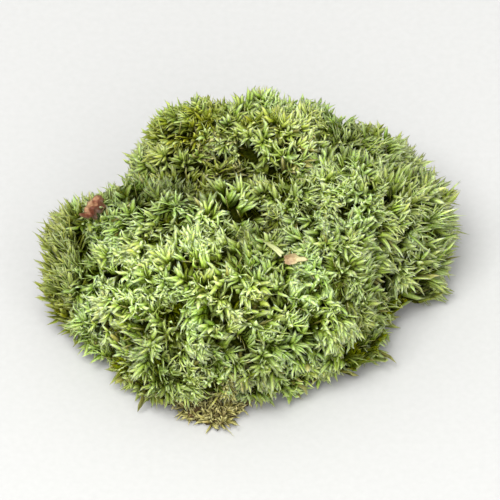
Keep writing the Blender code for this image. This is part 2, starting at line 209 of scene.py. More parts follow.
# Which way the shoots of some parts are pushed over, in two turns, and which way their leaves are swept
PUSHES = (
    {"left_tuft": (-0.2, 0.1, 1.3), "right_side": (0.12, 0.18, 0.35)},
    {"rear_left": (0.25, 0, 0.6), "right_edge": (0.1, 0.2, 0.5)},
)
PART_SWEEPS = {"right_side": (0.18, 0.05, 0.0), "left_tuft": (-0.1, 0.1, 0.3)}

# Painted light and painted shade: places whose leaves are painted paler, as if lit, mostly on the front of
# the dome, or darker, as if shaded, in the crease behind it, on the right shoulder and low at the front:
# middle across and back, radius, and the change of tint
PAINTED_LIGHT_AND_SHADE = (
    (-20, 0, 5, -2.3), (-10, 0.5, 5, -2.2), (1, 2, 5, -1.6),
    (17, 16, 5, -1.2), (20, 23, 5, -0.9), (25, 12, 5, -0.9),
    (3.5, -13, 5, -2.0), (-12, -18, 5, 1.6), (-3, -23, 6, 1.5),
    (9, -21, 5, 1.0), (-7, -8, 6, 1.4), (25, -11, 4.5, -1.6),
    (-22, -18, 6, 1.2), (1, -29, 5, -1.2),
)

# Dead leaves: their share, what hollows and the foot add to it, and patches by middle, radius and share
DEAD_SHARE, DEAD_IN_DIPS, DEAD_AT_FOOT = 0.014, 0.08, 0.1
DEAD_PATCHES = (
    (8.4, 10.5, 2.4, 0.4), (-4.2, 9.6, 2.6, 0.5),
    (-9.0, 12.5, 2.0, 0.4), (-25.6, -20.8, 2.6, 0.7),
)

# A band of old khaki leaves runs up over the mat's lip along this route, in millimetres
KHAKI_BAND = ((-1.9, -29.6, 12.2), (-4.2, -30.2, 7.7), (-6.3, -29.5, 3.0), (-9.5, -30.5, 1.5))
BAND_STEPS = 12
BAND_RADIUS = 1.7

# The mat's lip, from the clump's middle: the bearing of its middle and how far it reaches to each side
LIP_BEARING, LIP_REACH = math.radians(256), math.radians(17.55)

# The mat's felt: cuts in its edges, its bumps as (height, width, seed), and which faces are its rim
FELT_CUTS = 3
FELT_BUMPS = ((0.35 * MM, 1.4 * MM, 41), (0.25 * MM, 0.7 * MM, 42))
RIM_FACING = 0.9

# Rootlets on the rim: their number, least and greatest sizes and offsets, and then the mean and spread of
# how they turn out, climb, bend and are coloured
ROOTLETS = 900
ROOTLET_LENGTHS, ROOTLET_WIDTHS = (2.5 * MM, 6 * MM), (0.14 * MM, 0.34 * MM)
ROOTLET_OFFSETS = (-0.1 * MM, 0.35 * MM)
ROOTLET_FACING = 0.8
ROOTLET_TURN, ROOTLET_CLIMB = (0.12, 0.12), (0, 0.35)
ROOTLET_VARIES = {
    "bend": (-0.25, 0.5), "twist": (0, 1), "sway": (0, 0.25 * MM), "tint": (-0.3, 0.6), "warm": (0, 0.8),
}
LOWEST_ROOTLET = 0.25 * MM

# Dead shoots on the lip: their number, which way they may look, how far out they reach, and their colour,
# whose tint is set low partly as painted shade below the dome's front
DEAD_SHOOTS, DEAD_FACING = 230, -0.3
DEAD_REACHES = (0.8 * MM, 2.0 * MM)
DEAD_DROOP = [0, -0.25, 0.1]
DEAD_AXIS_VARIES, DEAD_SWEEP, DEAD_SPREAD = 0.3, 0.3, 0.8
DEAD_TINT, DEAD_WARM = (-0.25, 0.5), (0.2, 0.7)

# Leaf scraps: half sizes along and across; corners as (angle, how far they stand out); how ragged they
# are; and the angle that their colour runs at, on the red scrap also its painted highlight and painted
# shade
RED_SCRAP = np.array([2.3, 1.9]) * MM
RED_CORNERS = ((0.5, 0.12), (1.9, -0.05), (2.9, -0.14), (4.1, 0.08), (5.3, 0.12))
TAN_SCRAP = np.array([1.8, 0.8]) * MM
TAN_CORNERS = ((0.0, 0.34), (0.9, -0.32), (2.3, 0.24), (4.0, 0.12), (5.3, -0.42))
RED_RAGGED, TAN_RAGGED = 0.035, 0.02
RED_COLOUR_AND_LIGHT_SLANT, TAN_SLANT = math.radians(-75), 0
CORNER_WIDTH = 0.42
RAGGED_WAVES = range(5, 16)
SCRAP_THICKNESS = 0.12 * MM
SCRAP_RINGS, SCRAP_SEGMENTS = 18, 72

# The red scrap's folds by direction, spacing, shift and height; its rolled edge; its buckles
RED_FOLDS = ((0.8, 0.6, 1.7 * MM, 0.2, 1.2 * MM), (-0.5, 0.9, 2.2 * MM, 0.4, 0.9 * MM))
RED_ROLL_START, RED_ROLL = 0.35, 1.5 * MM
RED_BUCKLES = ((0.24 * MM, 0.9 * MM, 51),)
RED_SUNK = 0.3 * MM

# The tan scrap's curled edge, bow and buckles
TAN_CURL, TAN_BOW, TAN_BOW_TURN = 1.1 * MM, 0.25 * MM, 1.4
TAN_BUCKLES = ((0.08 * MM, 0.9 * MM, 52),)

# Veins: height, side veins' spacing, slant and width, and the midrib's height by theirs and its width
VEIN_HEIGHT = 0.04 * MM
RED_VEINS, TAN_VEINS = 0.8 * MM, 0.7 * MM
VEIN_SLANT, VEIN_WIDTH = 0.8, 0.22
MIDRIB_HEIGHT, MIDRIB_WIDTH = 1.6, 0.14 * MM

# The stalk: its thin end's width; for each strand how far it splits off, its turn, how much it widens and
# where its waves start; how quickly its thin end widens and from what share; how much its wide end narrows
# and how suddenly; and how far its strands stand apart at the thin end, how much more at the wide one, and
# how suddenly
TWIG_STEPS, TWIG_SIDES = 26, 12
TWIG_EVENED = 0.9 * MM
TWIG_THIN_END = 0.34 * MM
TWIG_STRANDS = ((0.0, 0.0, 0.5 * MM, 0), (0.16 * MM, 0.9, 0.34 * MM, 2))
TWIG_THIN_WIDENS, TWIG_THIN_SHARE = 5, 0.35
TWIG_WIDE_NARROWS, TWIG_WIDE_POWER = 0.75, 14
TWIG_APART, TWIG_SPLAY, TWIG_SPLAY_POWER = 0.3, 4.2, 3
TWIG_WIDENING_POWER = 0.8
TWIG_WAVE, TWIG_WAVES = 0.07 * MM, 9
TWIG_FLATNESS, TWIG_RIBS, TWIG_RIB_HEIGHT = 0.5, 3, 0.1

# Litter: how far to either side of its middle the leaves above it are cleared, where along it, how far in
# from its ends and how much less there, how deep, and how far from it the moss is pressed
LITTER = (("red_leaf_scrap", 0.95 * MM), ("tan_leaf_scrap", 0.8 * MM), ("pale_twig", 0.6 * MM))
LITTER_OPENINGS = (-1, -0.5, 0, 0.5, 1)
OPENING_INSET, ENDS_SMALLER = 0.6, 0.3
LITTER_FLOOR = -0.2 * MM
LITTER_BED = 4 * MM

# Values that the leaves carry for their material, and between which values noise mostly lies
VALUES = ("along", "depth", "tint", "warm", "olive", "dead")
GRAIN_RANGE = (0.3, 0.7)

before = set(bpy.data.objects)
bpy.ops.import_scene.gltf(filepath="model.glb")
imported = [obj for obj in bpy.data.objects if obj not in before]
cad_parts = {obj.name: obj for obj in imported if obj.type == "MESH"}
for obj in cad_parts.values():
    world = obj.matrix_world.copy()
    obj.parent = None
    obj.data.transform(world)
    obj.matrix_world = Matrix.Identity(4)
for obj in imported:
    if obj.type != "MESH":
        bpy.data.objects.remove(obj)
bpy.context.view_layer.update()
chance = np.random.default_rng(SEED)


# Vectors and fields
def unit(vectors):
    return vectors / np.maximum(np.linalg.norm(vectors, axis=-1, keepdims=True), TINY ** 2)


def dot(first, second):
    return (first * second).sum(axis=-1)


def column(numbers):
    return np.asarray(numbers)[:, None]


def rising(values, start, end):
    """0 up to the start, 1 from the end on."""
    return ((values - start) / (end - start)).clip(0, 1)


def turned(first, second, angle):
    """The first vector of each pair, turned by an angle towards the second."""
    return column(np.cos(angle)) * first + column(np.sin(angle)) * second


def perpendicular(axis, turn):
    """A unit vector square to each axis, turned round it by an angle."""
    helper = np.where(np.abs(axis[:, 2:3]) < 0.9, [[0, 0, 1.0]], [[1.0, 0, 0]])
    first = unit(np.cross(axis, helper))
    return turned(first, np.cross(axis, first), turn)


def field(points, size, seed, waves=24):
    """A smooth random field, about normally spread, whose bumps are about as wide as size."""
    source = np.random.default_rng(seed)
    turns = unit(source.normal(0, 1, (waves, 3))) * math.tau
    turns /= column(size * source.uniform(1.2, 2.6, waves))
    phases = source.uniform(0, math.tau, waves)
    return np.sin(points @ turns.T + phases).sum(axis=1) / math.sqrt(waves / 2)


def vector_field(points, size, seeds):
    return np.stack([field(points, size, seed) for seed in seeds], axis=1)


def bumps(points, layers):
    """A rough surface's height at points, from layers of (height, width, seed)."""
    return sum(height * field(points, size, seed) for height, size, seed in layers)


def slope(points, size, seed):
    """Which way such a field rises, in bumps' heights per bump's width."""
    share = 0.02
    here = field(points, size, seed)
    ahead = [field(points + share * size * way, size, seed) for way in np.eye(3)]
    return np.stack([there - here for there in ahead], axis=1) / share


def bell(points, spot):
    """1 at the middle of a spot and falling to nothing past its radius, seen from above."""
    across, back, radius = spot
    away = np.hypot(points[:, 0] - across * MM, points[:, 1] - back * MM)
    return np.exp(-(away / (radius * MM)) ** 2)


def bells(points, spots):
    return sum(bell(points, spot) for spot in spots).clip(0, 1)


def along_route(route, steps):
    """Points at even steps along a route."""
    route = np.array(route)
    turns = np.arange(len(route))
    places = np.linspace(0, turns[-1], steps)
    return np.stack([np.interp(places, turns, values) for values in route.T], axis=1)


def cleft_gaps():
    """Gaps in a row along the cleft."""
    return [(across, back, CLEFT_RADIUS, CLEFT_DEPTH) for across, back in along_route(CLEFT, CLEFT_GAPS)]


def band_share(points):
    """1 on the khaki band, 0 away from it."""
    steps = along_route(KHAKI_BAND, BAND_STEPS) * MM
    away = np.linalg.norm(points[:, None] - steps[None], axis=2).min(axis=1)
    return np.exp(-(away / (BAND_RADIUS * MM)) ** 4)


def sunken(points):
    """How far the gaps lower the shoots."""
    total = np.zeros(len(points))
    for across, back, radius, depth in (*GAPS, *cleft_gaps()):
        total += depth * MM * bell(points, (across, back, radius))
    return total.clip(0, DEEPEST_GAP)


# The solids that carry the looks
def cad_shape(node):
    """The node's mesh with its doubled corners joined."""
    shape = bmesh.new()
    shape.from_mesh(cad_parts[node].data)
    bmesh.ops.remove_doubles(shape, verts=shape.verts, dist=TINY)
    shape.verts.index_update()
    return shape


def places_of(shape):
    return np.array([corner.co for corner in shape.verts])


def normals_of(shape):
    shape.normal_update()
    return np.array([corner.normal for corner in shape.verts])


def edges_of(shape):
    return np.array([[corner.index for corner in edge.verts] for edge in shape.edges])


def move_to(shape, places):
    for corner, place in zip(shape.verts, places):
        corner.co = place


def divided(shape, cuts):
    """Cuts the shape's edges, and makes its faces triangles again."""
    bmesh.ops.subdivide_edges(shape, edges=shape.edges, cuts=cuts, use_grid_fill=True)
    bmesh.ops.triangulate(shape, faces=shape.faces)
    shape.verts.index_update()


def smoothed(places, edges, rounds):
    """The places, each moved towards the mean of its neighbours some times over."""
    count = np.zeros(len(places))
    np.add.at(count, edges[:, 0], 1)
    np.add.at(count, edges[:, 1], 1)
    for _ in range(rounds):
        total = np.zeros_like(places)
        np.add.at(total, edges[:, 0], places[edges[:, 1]])
        np.add.at(total, edges[:, 1], places[edges[:, 0]])
        places = (places + total / column(count)) / 2
    return places


def box_of(node):
    """A solid's corners, and its box: middle, directions and half sizes, longest first. Its last direction
    looks up, the first one to the right."""
    shape = cad_shape(node)
    points = places_of(shape)
    shape.free()
    middle = (points.min(axis=0) + points.max(axis=0)) / 2
    ways = np.linalg.eigh(np.cov((points - middle).T))[1].T[::-1]
    ways[0] *= np.sign(ways[0][0])
    ways[2] *= np.sign(ways[2][2])
    ways[1] = np.cross(ways[2], ways[0])
    offsets = (points - middle) @ ways.T
    low, high = offsets.min(axis=0), offsets.max(axis=0)
    return points, middle + (low + high) / 2 @ ways, ways, (high - low) / 2


# Meshes
def placed(name, data):
    """A new object in the scene."""
    made = bpy.data.objects.new(name, data)
    bpy.context.scene.collection.objects.link(made)
    return made


def ring_grid(rings, sides, first=0):
    """The numbers of the corners of several rings, and those of the corner after each."""
    ring = first + np.arange(rings * sides).reshape(rings, sides)
    return ring, np.roll(ring, -1, axis=1)


def add_piece(name, mesh, look, slot, node):
    """Puts a smooth mesh in the scene, on the clump's one body, in place of a solid."""
    mesh.materials.append(look)
    mesh.shade_smooth()
    made = placed(name, mesh)
    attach(made, "root")
    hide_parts(node)


def shape_piece(name, shape, *details):
    """One object from a finished shape."""
    mesh = bpy.data.meshes.new(name)
    shape.to_mesh(mesh)
    shape.free()
    add_piece(name, mesh, *details)


def mesh_piece(name, parts, *details):
    """One object made of several parts, each with corners, quads, triangles and values at its corners."""
    starts = np.cumsum([0] + [len(part["corners"]) for part in parts])
    faces = []
    for kind in ("quads", "triangles"):
        for part, start in zip(parts, starts):
            faces += (part[kind] + start).tolist()
    mesh = bpy.data.meshes.new(name)
    mesh.from_pydata(np.concatenate([part["corners"] for part in parts]), [], faces)
    for key in VALUES:
        values = [np.broadcast_to(part.get(key, 0.0), len(part["corners"])) for part in parts]
        layer = mesh.attributes.new(key, "FLOAT", "POINT")
        layer.data.foreach_set("value", np.concatenate(values).astype(np.float32))
    add_piece(name, mesh, *details)


def chosen(rows, which):
    return {key: values[which] for key, values in rows.items()}


def zeros(number, *keys):
    return {key: np.zeros(number) for key in keys}


def leaf_middle(rows, place):
    """Where each leaf's middle is at a share of its length: an arc from along towards up, that sways."""
    bend = column(np.where(np.abs(rows["bend"]) < TINY, TINY, rows["bend"]))
    turn = bend * place
    bow = (np.sin(turn) * rows["along"] + (1 - np.cos(turn)) * rows["up"]) / bend
    wave = column(rows["sway"] * math.sin(math.tau * place))
    return rows["base"] + column(rows["length"]) * bow + wave * np.cross(rows["along"], rows["up"])


def leaf_points(rows):
    return np.stack([leaf_middle(rows, place) for place in LEAF_CHECKS], axis=1)


def above(rows, lowest):
    """The leaves that stay above a height."""
    return chosen(rows, leaf_points(rows)[:, :, 2].min(axis=1) > lowest)


def leaves(rows):
    """Closed narrow leaves with three edges, each twisted along its length, as one part."""
    side = np.cross(rows["along"], rows["up"])
    corners = []
    for place, share in LEAF_RINGS:
        top = turned(rows["up"], -rows["along"], rows["bend"] * place)
        roll = rows["face"] + rows["twist"] * place
        across = turned(side, top, roll)
        lifted = turned(top, -side, roll)
        middle = leaf_middle(rows, place)
        half = column(rows["width"] * share / 2)
        high = column(rows["width"] * share * LEAF_RIDGE)
        corners += [middle - across * half, middle + across * half, middle + lifted * high]
    corners.append(leaf_middle(rows, 1.0))
    each = len(corners)
    quads = []
    for low in range(0, 3 * len(LEAF_RINGS) - 3, 3):
        for start, end in ((1, 0), (2, 1), (0, 2)):
            quads.append((low + start, low + end, low + 3 + end, low + 3 + start))
    last, tip = each - 4, each - 1
    triangles = [(last + 1, last, tip), (last + 2, last + 1, tip), (last, last + 2, tip), (0, 1, 2)]
    number = len(rows["base"])
    shift = column(np.arange(number) * each)
    places = [place for place, _ in LEAF_RINGS for _ in range(3)] + [1.0]
    solid = np.stack(corners, axis=1).reshape(-1, 3)
    solid[:, 2] = np.maximum(solid[:, 2], GROUND)
    part = {
        "corners": solid,
        "quads": (np.array(quads).reshape(1, -1) + shift).reshape(-1, 4),
        "triangles": (np.array(triangles).reshape(1, -1) + shift).reshape(-1, 3),
        "along": np.tile(places, number),
    }
    for key in ("tint", "warm", "olive", "dead"):
        part[key] = np.repeat(rows[key], each)
    # How deep each corner lies below the even surface at its shoot, by which the moss look paints shade
    if "place" in rows:
        below = part["corners"] - np.repeat(rows["place"], each, axis=0)
        part["depth"] = -dot(below, np.repeat(rows["normal"], each, axis=0)) / MM
    return part


# Where the living shoots stand
def growth_points():
    """Every corner of the cushion: itself, the even surface below the tufts, its normal, how far the
    corner rises from it, and how far the even surface lies below the cushion's broad shape."""
    shape = cad_shape("moss_cushion")
    edges = edges_of(shape)
    raw = places_of(shape)
    even = smoothed(raw, edges, EVEN_ROUNDS)
    broad = smoothed(raw, edges, BROAD_ROUNDS)
    move_to(shape, even)
    normals = normals_of(shape)
    shape.free()
    return raw, even, normals, dot(raw - even, normals), dot(broad - even, normals)


def near_litter(points):
    """Which points lie in a bed that litter has pressed flat."""
    near = np.zeros(len(points), dtype=bool)
    for node, _ in LITTER:
        _, middle, _, _ = box_of(node)
        near |= np.linalg.norm(points - middle, axis=1) < LITTER_BED
    return near


def litter_pits():
    """Openings over the litter, so that it isn't buried."""
    found = []
    for node, radius in LITTER:
        _, middle, ways, halves = box_of(node)
        reach = max(halves[0] - OPENING_INSET * radius, 0)
        for share in LITTER_OPENINGS:
            place = middle + ways[0] * reach * share
            opening = radius * (1 - ENDS_SMALLER * share ** 2)
            found.append((place, ways[2], opening, LITTER_FLOOR, PIT_REACH))
    return found


def gap_pits(places, normals, gaps, sideways):
    """Openings over gaps, so that the leaves round them don't close them. sideways is how much they may
    lean to the left or right."""
    found = []
    upper = np.nonzero(normals[:, 2] > GAP_FACING)[0]
    for across, back, radius, _ in gaps:
        away = np.hypot(places[upper, 0] - across * MM, places[upper, 1] - back * MM)
        nearest = upper[away.argmin()]
        middle = np.array([across * MM, back * MM, places[nearest, 2]])
        way = unit(normals[nearest] * [sideways, 1, 1] + GAP_UPWARD)
        bottom = middle - way * sunken(middle[None])[0]
        found.append((bottom, way, GAP_OPENING * radius * MM, GAP_FLOOR, GAP_REACH))
    return found


def moss_pits(even, normals, hollow, outside):
    """The small holes between shoots, the partings of the right edge, and the openings over the gaps."""
    pit = np.nonzero(hollow & (chance.random(len(even)) < PIT_SHARE))[0]
    radii = PIT_RADIUS * np.exp(chance.normal(0, PIT_SPREAD, len(pit)))
    parting = (even[:, 0] > PARTINGS_START) & (field(even, *PARTINGS) > PARTING_LEVEL) & outside
    pit = np.concatenate([pit, np.nonzero(parting)[0]])
    radii = np.concatenate([radii, np.full(parting.sum(), PARTING_RADIUS)])
    mouths = even[pit] - normals[pit] * column(sunken(even[pit]))
    ways = unit(normals[pit] + UPWARD)
    pits = [(mouth, way, radius, PIT_FLOOR, PIT_REACH) for mouth, way, radius in zip(mouths, ways, radii)]
    return pits + gap_pits(even, normals, GAPS, 1) + gap_pits(even, normals, cleft_gaps(), 0)


def clear_of_pits(points, pits):
    """Which leaves stay out of every pit: a place, the way out, a radius, and where along that way it
    starts and ends."""
    clear = np.ones(len(points), dtype=bool)
    for place, way, radius, floor, roof in pits:
        near = np.nonzero(np.abs(points[:, 2] - place).max(axis=1) < roof + PIT_MARGIN)[0]
        if not len(near):
            continue
        offset = points[near] - place
        height = dot(offset, way)
        away = np.linalg.norm(offset - height[:, :, None] * way, axis=2)
        inside = (away < radius) & (height > floor) & (height < roof)
        clear[near[inside.any(axis=1)]] = False
    return clear


# How the living shoots look
def part_shares(place, sunk):
    """How much each shoot belongs to each part of the clump, and how deep it stands in a gap."""
    level = place / MM
    shares = {part: bells(place, spots) for part, spots in SPOTS.items()}
    for part, (axis, start, full) in SIDES.items():
        shares[part] = rising(level[:, axis], start, full)
    shares["rear"] = rising(level[:, 1], *REAR_BACK) * rising(level[:, 0], *REAR_ACROSS)
    shares["dip"] = rising(sunk, 0, FULL_DIP)
    shares["gap"] = sunken(place) / MM
    return shares


def trait(shares, key):
    """What shoots have of a trait in general, with what each part of the clump adds."""
    return USUAL[key] + sum(added[key] * shares[part] for part, added in PARTS.items() if key in added)


def pushed(shares, pushes):
    return sum(column(shares[part]) * way for part, way in pushes.items())


def shoot_axes(place, normal, shares):
    """Which way the shoots point: out and a little up, leaning in patches and gathering in heads."""
    gather = slope(place, *HEADS)
    gather -= column(dot(gather, normal)) * normal
    axis = normal + UPWARD + LEANING * vector_field(place, *LEANS) + GATHERING * gather
    axis = unit(axis + chance.normal(0, AXIS_VARIES, axis.shape))
    for pushes in PUSHES:
        axis = unit(axis + pushed(shares, pushes))
    return unit(axis + EDGE_GATHERING * column(shares["right_edge"]) * gather)


def shoot_sweeps(place, axis, shares):
    """Which way all the leaves of a shoot are swept."""
    sweep = vector_field(place, *SWEEPS)
    sweep = SWEEPING * (sweep - column(dot(sweep, axis)) * axis)
    return sweep * column(trait(shares, "swept")) + pushed(shares, PART_SWEEPS)


def shoot_colours(place, shares):
    """How bright, warm, olive and dead the shoots are; their brightness holds painted light and shade."""
    fine = field(place, *FINE_PATCHES)
    # Part of the olive, in dips, gaps, the groove and at the foot, is painted shade
    olive = trait(shares, "olive") + OLIVE_VARIES * field(place, *OLIVE_PATCHES)
    olive -= REAR_OLIVE_VARIES * shares["rear_left"] * fine
    # Brightness: the shoots' own patchy tone, with painted shade and painted light from the clump's parts
    shade = trait(shares, "shade") + trait(shares, "patchy") * fine
    shade += SHADE_VARIES * field(place, *SHADE_PATCHES) + chance.normal(0, SHOOT_VARIES, len(place))
    # Painted light and painted shade of the listed places
    shade += sum(change * bell(place, spot) for *spot, change in PAINTED_LIGHT_AND_SHADE)
    dead = DEAD_SHARE + DEAD_IN_DIPS * shares["dip"] + DEAD_AT_FOOT * shares["foot"] ** 2
    dead += band_share(place) + sum(share * bell(place, spot) for *spot, share in DEAD_PATCHES)
    return {
        "tint": shade,
        "warm": trait(shares, "warm") + WARM_VARIES * field(place, *WARMTH),
        "olive": olive.clip(0, 1),
        "dead": dead.clip(0, 1),
    }


def moss_shoots():
    """Where the living shoots stand and how they look, and the pits between them."""
    raw, even, normals, rise, sunk = growth_points()
    outside = raw[:, 2] > SHOOTS_START
    tuft = ((rise > TUFT_RISE) | near_litter(raw)) & outside
    hollow = (rise < -HOLLOW_SINK) & outside & (normals[:, 2] > HOLLOW_FACING)
    standing = tuft | (hollow & (chance.random(len(raw)) < HOLLOW_SHARE))
    pits = moss_pits(even, normals, hollow, outside)
    place, normal = even[standing], normals[standing]
    shares = part_shares(place, sunk[standing])
    height = HEAD_HEIGHT + HEAD_RISE * field(place, *HEADS) + chance.normal(0, HEIGHT_VARIES, len(place))
    height = height.clip(*HEIGHT_LIMITS) - MM * trait(shares, "drop")
    axis = shoot_axes(place, normal, shares)
    rows = {
        "place": place,
        "normal": normal,
        "tip": place + normal * column(height),
        "axis": axis,
        "sweep": shoot_sweeps(place, axis, shares),
        **{key: trait(shares, key) for key in ("spread", "size", "curl", "mottle")},
        **shoot_colours(place, shares),
    }
    return rows, pits


def varied(key, number):
    return chance.normal(0, LEAF_VARIES[key], number)


def shoot_leaves(shoots, per_shoot, leafy, length, width):
    """The leaves of many shoots: they stand all round each stem, wide at its foot and close at its top,
    and sweep to one side together. The lower ones die first."""
    number = len(shoots["tip"])
    total = number * per_shoot
    of = {key: np.repeat(values, per_shoot, axis=0) for key, values in shoots.items()}
    index = np.tile(np.arange(per_shoot), number)
    level = ((index + 0.5) / per_shoot + varied("level", total)).clip(0, 1)
    turn = np.repeat(chance.uniform(0, math.tau, number), per_shoot) + index * GOLDEN_TURN
    out = perpendicular(of["axis"], turn + varied("turn", total))
    spread = SPREAD_AT_FOOT + (SPREAD_AT_TOP - SPREAD_AT_FOOT) * level ** SPREAD_CURVE
    spread = spread * of["spread"] + varied("spread", total)
    straight = turned(of["axis"], out, spread)
    along = unit(straight + of["sweep"])
    back = turned(out, -of["axis"], spread)
    up = turned(back, np.cross(straight, back), varied("roll", total)) + SWEEP_BEND * of["sweep"]
    up = unit(up - column(dot(up, along)) * along)
    longer = (1 + varied("length", total)).clip(*LENGTH_LIMITS) * (1 - TOP_SHORTER * level ** 3)
    wider = (1 + varied("width", total)).clip(*WIDTH_LIMITS) * (1 - TOP_NARROWER * level)
    rows = {
        "base": of["tip"] - of["axis"] * column((1 - level) * leafy + BELOW_TIP),
        "along": along,
        "up": up,
        "length": length * of["size"] * longer,
        "width": width * np.minimum(of["size"], 1) * wider,
        "bend": of["curl"] * (LEAF_BEND + varied("bend", total)),
        "twist": varied("twist", total),
        "face": np.where(chance.random(total) < 0.5, 0, math.pi),
        "sway": varied("sway", total),
        "tint": of["tint"] + of["mottle"] * chance.normal(0, 1, total),
        "place": of["place"],
        "normal": of["normal"],
    }
    rows["tint"] += PALE_TINT * (chance.random(total) < PALE_SHARE)
    rows["warm"] = of["warm"] + varied("warm", total)
    rows["olive"] = (of["olive"] + varied("olive", total)).clip(0, 1)
    dying = of["dead"] * (FOOT_DIES - level * (1 - of["dead"]))
    rows["dead"] = (chance.random(total) < dying).astype(float)
    return above(rows, LOWEST_LEAF)


def stems(shoots):
    """One thin brown stem inside each shoot."""
    number = len(shoots["tip"])
    turn = chance.uniform(0, math.tau, number)
    rows = {
        "base": shoots["tip"] - shoots["axis"] * (STEM_LENGTH + STEM_BELOW_TIP),
        "along": shoots["axis"],
        "up": perpendicular(shoots["axis"], turn),
        "length": np.full(number, STEM_LENGTH),
        "width": np.full(number, STEM_WIDTH),
        "bend": chance.normal(0, STEM_BEND, number),
        "tint": shoots["tint"] + STEM_TINT,
        "warm": shoots["warm"],
        "olive": np.ones(number),
        "dead": np.full(number, STEM_DEAD),
        "place": shoots["place"],
        "normal": shoots["normal"],
        **zeros(number, "twist", "face", "sway"),
    }
    return above(rows, LOWEST_LEAF)


def build_moss(look):
    """The living shoots, shared out by bearing over several pieces."""
    shoots, pits = moss_shoots()
    pits += litter_pits()
    bearing = np.arctan2(shoots["tip"][:, 1], shoots["tip"][:, 0])
    for index, share in enumerate(np.array_split(np.argsort(bearing), MOSS_PIECES)):
        some = chosen(shoots, share)
        rows = shoot_leaves(some, *LIVING_LEAVES)
        rows = chosen(rows, clear_of_pits(leaf_points(rows), pits))
        parts = [leaves(rows), leaves(stems(some))]
        mesh_piece(f"moss_shoots_{index + 1}", parts, look, "living_moss", "moss_cushion")


def build_bed(look):
    """The rough inside of the cushion, which shows between the shoots, and its flat cut foot. It is dark
    partly as painted shade between the shoots.
    """
    shape = cad_shape("moss_cushion")
    move_to(shape, smoothed(places_of(shape), edges_of(shape), EVEN_ROUNDS))
    bmesh.ops.triangulate(shape, faces=shape.faces)
    divided(shape, 1)
    places = places_of(shape)
    normals = normals_of(shape)
    inward = BED_DEPTH + sunken(places) - bumps(places, BED_BUMPS)
    inward = np.where(normals[:, 2] > CUT_FACING, inward, 0)
    move_to(shape, places - normals * column(inward))
    shape_piece("moss_bed_painted_shade", shape, look, "living_moss", "moss_cushion")


# The brown mat below
def build_felt(look):
    """The mat itself: matted stems and humus, rough round its rim and cut flat below."""
    shape = cad_shape("base_mat")
    divided(shape, FELT_CUTS)
    places = places_of(shape)
    normals = normals_of(shape)
    rim = np.abs(normals[:, 2]) < RIM_FACING
    places = places + normals * column(np.where(rim, bumps(places, FELT_BUMPS), 0))
    places[:, 2] = places[:, 2].clip(0, None)
    move_to(shape, places)
    shape_piece("mat_felt", shape, look, "dead_stems", "base_mat")


def surface_points(node, number, wanted):
    """Points spread evenly over the faces of a node that are wanted, and the faces' normals."""
    shape = cad_shape(node)
    bmesh.ops.triangulate(shape, faces=shape.faces)
    shape.normal_update()
    corners = np.array([[corner.co for corner in face.verts] for face in shape.faces])
    normals = np.array([face.normal for face in shape.faces])
    shape.free()
    keep = wanted(corners.mean(axis=1), normals)
    corners, normals = corners[keep], normals[keep]
    area = np.linalg.norm(np.cross(corners[:, 1] - corners[:, 0], corners[:, 2] - corners[:, 0]), axis=1)
    face = chance.choice(len(corners), number, p=area / area.sum())
    first, second = chance.random((2, number))
    flip = first + second > 1
    first, second = np.where(flip, 1 - first, first), np.where(flip, 1 - second, second)
    a, b, c = (corners[face, index] for index in range(3))
    return a + column(first) * (b - a) + column(second) * (c - a), normals[face]


def on_rim(points, normals):
    return np.abs(normals[:, 2]) < ROOTLET_FACING


def on_lip(points, normals):
    away = np.abs((np.arctan2(points[:, 1], points[:, 0]) - LIP_BEARING + math.pi) % math.tau - math.pi)
    return (away < LIP_REACH) & (normals[:, 2] > DEAD_FACING)


def build_rootlets(look):
    """Thin brown strands that lie along the mat's rim, most of them level."""
    number = ROOTLETS
    place, normal = surface_points("base_mat", number, on_rim)
    level = unit(np.cross(normal, [0, 0, 1.0]))
    way = column(np.where(chance.random(number) < 0.5, 1, -1)) * level
    way += column(chance.normal(*ROOTLET_TURN, number)) * normal
    way += column(chance.normal(*ROOTLET_CLIMB, number)) * [0, 0, 1]
    along = unit(way)
    length = chance.uniform(*ROOTLET_LENGTHS, number)
    offset = chance.uniform(*ROOTLET_OFFSETS, number)
    rows = {
        "base": place - along * column(length / 2) + normal * column(offset),
        "along": along,
        "up": unit(normal - column(dot(normal, along)) * along),
        "length": length,
        "width": chance.uniform(*ROOTLET_WIDTHS, number),
        **{key: chance.normal(*values, number) for key, values in ROOTLET_VARIES.items()},
        "dead": np.ones(number),
        **zeros(number, "face", "olive"),
    }
    mesh_piece("mat_rootlets", [leaves(above(rows, LOWEST_ROOTLET))], look, "dead_stems", "base_mat")


def build_dead_shoots(look):
    """Old shoots, tan and brown, that hang from the lip of the mat."""
    number = DEAD_SHOOTS
    place, normal = surface_points("base_mat", number, on_lip)
    axis = unit(normal + DEAD_DROOP + chance.normal(0, DEAD_AXIS_VARIES, (number, 3)))
    shoots = {
        "place": place,
        "normal": normal,
        "tip": place + axis * column(chance.uniform(*DEAD_REACHES, number)),
        "axis": axis,
        "sweep": DEAD_SWEEP * unit(chance.normal(0, 1, (number, 3))),
        "spread": np.full(number, DEAD_SPREAD),
        "mottle": np.full(number, USUAL["mottle"]),
        "tint": chance.normal(*DEAD_TINT, number),
        "warm": chance.normal(*DEAD_WARM, number),
        **{key: np.ones(number) for key in ("size", "curl", "olive", "dead")},
    }
    rows = shoot_leaves(shoots, *DEAD_LEAVES)
    rows["dead"] = np.ones(len(rows["base"]))
    mesh_piece("mat_dead_shoots", [leaves(rows)], look, "dead_stems", "base_mat")


# Litter
def torn(angle, corners, raggedness, seed):
    """How far a torn scrap's edge is from its middle, by angle: a soft polygon with a ragged rim."""
    source = np.random.default_rng(seed)
    edge = np.ones_like(angle)
    for turn, depth in corners:
        edge += depth * np.exp(-(((angle - turn + math.pi) % math.tau - math.pi) / CORNER_WIDTH) ** 2)
    for waves in RAGGED_WAVES:
        edge += raggedness * source.normal() * np.sin(waves * angle + source.uniform(0, math.tau))
    return edge


